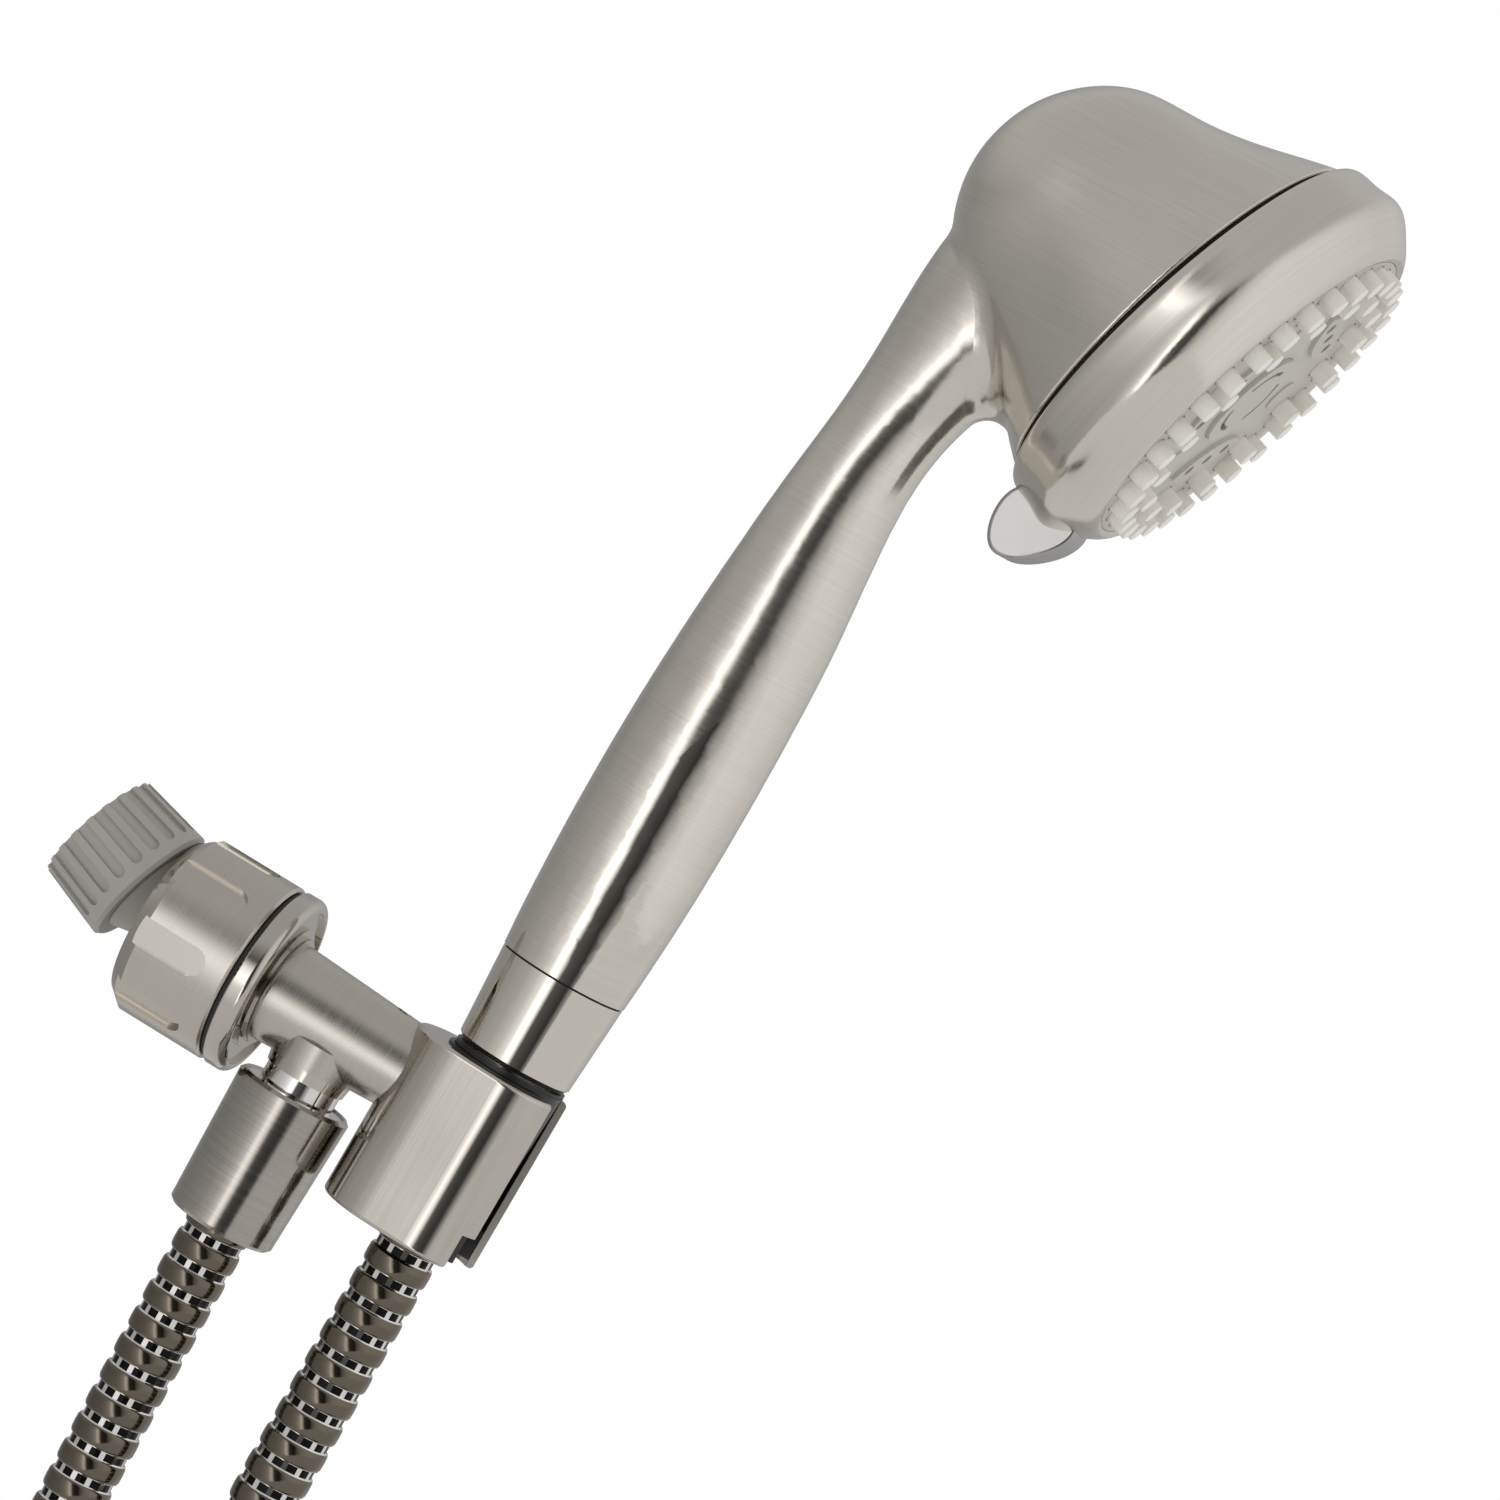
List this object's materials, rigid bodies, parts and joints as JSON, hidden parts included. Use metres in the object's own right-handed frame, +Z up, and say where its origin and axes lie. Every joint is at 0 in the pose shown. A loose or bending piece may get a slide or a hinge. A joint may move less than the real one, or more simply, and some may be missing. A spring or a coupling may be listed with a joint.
{
  "type": "handheld shower head",
  "caption": "Hand shower set: ball-jointed arm bracket with a cradle and hose outlet, metal hose, and a handset with a bell head, turning spray ring and thumb lever.",
  "frame": {"origin": "middle of the arm nut's mouth, where the shower arm's thread goes in", "axes": "+X away from the wall, +Z up; the set lies along the XZ plane, and the camera side is -Y"},
  "size_m": [0.2925, 0.0849, 0.4963],
  "materials": {
    "grey_plastic": "moulded grey plastic, slightly rough",
    "black_rubber": "matt black rubber",
    "white_plastic": "moulded white plastic",
    "nickel_on_plastic": "brushed nickel plating on moulded plastic",
    "polished_on_plastic": "polished plating on moulded plastic",
    "nickel_on_brass": "brushed nickel plating on turned brass",
    "polished_nickel": "polished plating on turned brass",
    "black_plastic": "black plastic",
    "brass": "turned brass",
    "steel": "stainless steel",
    "hose_metal": "interlocked metal strip over a plastic core, brushed",
    "face_grey": "warm light grey plastic, satin",
    "face_rubber": "warm light grey rubber"
  },
  "bodies": {
    "arm_connector": {"arm_nut": "grey_plastic", "arm_washer": "black_rubber"},
    "ball": {"swivel_ball": "grey_plastic"},
    "seat": {"ball_seat": "white_plastic", "ball_seal": "black_rubber"},
    "bracket": {"bracket_body": "nickel_on_plastic", "clamp_washer": "black_rubber", "set_screw": "steel", "hose_spigot": "polished_nickel", "cradle_shell": "nickel_on_plastic", "cradle_liner": "black_plastic", "outlet_washer": "black_rubber", "outlet_insert": "brass", "hose_run_outlet": "hose_metal", "hose_coil": "hose_metal", "hose_tie": "black_plastic", "hose_run_handset": "hose_metal"},
    "clamp": {"clamp_nut": "nickel_on_plastic"},
    "hose_coupling": {"hose_nut": "nickel_on_brass"},
    "hose_end": {"handset_insert": "brass"},
    "handset": {"cone_nut": "nickel_on_brass", "cone_sleeve": "black_plastic", "handset_washer": "black_rubber", "seam_ring": "black_rubber", "handset_body": "nickel_on_plastic", "handle_inlet": "brass", "inlet_screen": "steel", "flow_regulator": "white_plastic", "water_tube": "white_plastic", "spray_chassis": "white_plastic", "port_seal": "black_rubber", "seal_spring": "steel", "detent_spring": "steel", "head_gasket": "black_rubber", "hub_screw": "steel"},
    "detent": {"detent_pin": "steel"},
    "selector": {"selector_bezel": "nickel_on_plastic", "selector_lever": "polished_on_plastic", "lever_screw": "steel", "spreader": "white_plastic", "nozzle_mat": "face_rubber", "face_plate": "face_grey", "centre_cap": "face_grey"},
    "turbine": {"turbine": "white_plastic"}
  },
  "joints": [
    {"name": "ball_turn", "type": "hinge", "parent": "arm_connector", "child": "ball", "pos_m": [0.01834, 0, -0.02022], "axis": [0.6717, 0, -0.7408], "continuous": true},
    {"name": "ball_tilt", "type": "hinge", "parent": "ball", "child": "seat", "pos_m": [0.01834, 0, -0.02022], "axis": [0, 1, 0], "range_deg": [0, 35]},
    {"name": "bracket_turn", "type": "hinge", "parent": "seat", "child": "bracket", "pos_m": [0.01834, 0, -0.02022], "axis": [0.866, 0, -0.5], "continuous": true},
    {"name": "clamp_nut_turn", "type": "hinge", "parent": "bracket", "child": "clamp", "pos_m": [0.01834, 0, -0.02022], "axis": [0.866, 0, -0.5], "continuous": true},
    {"name": "hose_nut_turn", "type": "hinge", "parent": "bracket", "child": "hose_coupling", "pos_m": [0.04519, 0, -0.03572], "axis": [-0.5, 0, -0.866], "continuous": true},
    {"name": "handset_lift", "type": "slide", "parent": "bracket", "child": "hose_end", "axis": [0.5, 0, 0.866], "range_m": [0, 0.03]},
    {"name": "handset_turn", "type": "hinge", "parent": "hose_end", "child": "handset", "pos_m": [0.07281, 0, -0.05167], "axis": [0.5, 0, 0.866], "continuous": true},
    {"name": "selector_turn", "type": "hinge", "parent": "handset", "child": "selector", "pos_m": [0.19857, -0.00195, 0.09165], "axis": [0.6745, -0.0499, -0.7366], "range_deg": [-60, 60]},
    {"name": "detent_click", "type": "slide", "parent": "handset", "child": "detent", "axis": [-0.6745, 0.0499, 0.7366], "range_m": [0, 0.0008], "stiffness_N_per_m": 300, "deforming": ["detent_spring"]},
    {"name": "turbine_spin", "type": "hinge", "parent": "selector", "child": "turbine", "pos_m": [0.19857, -0.00195, 0.09165], "axis": [0.6745, -0.0499, -0.7366], "continuous": true}
  ]
}
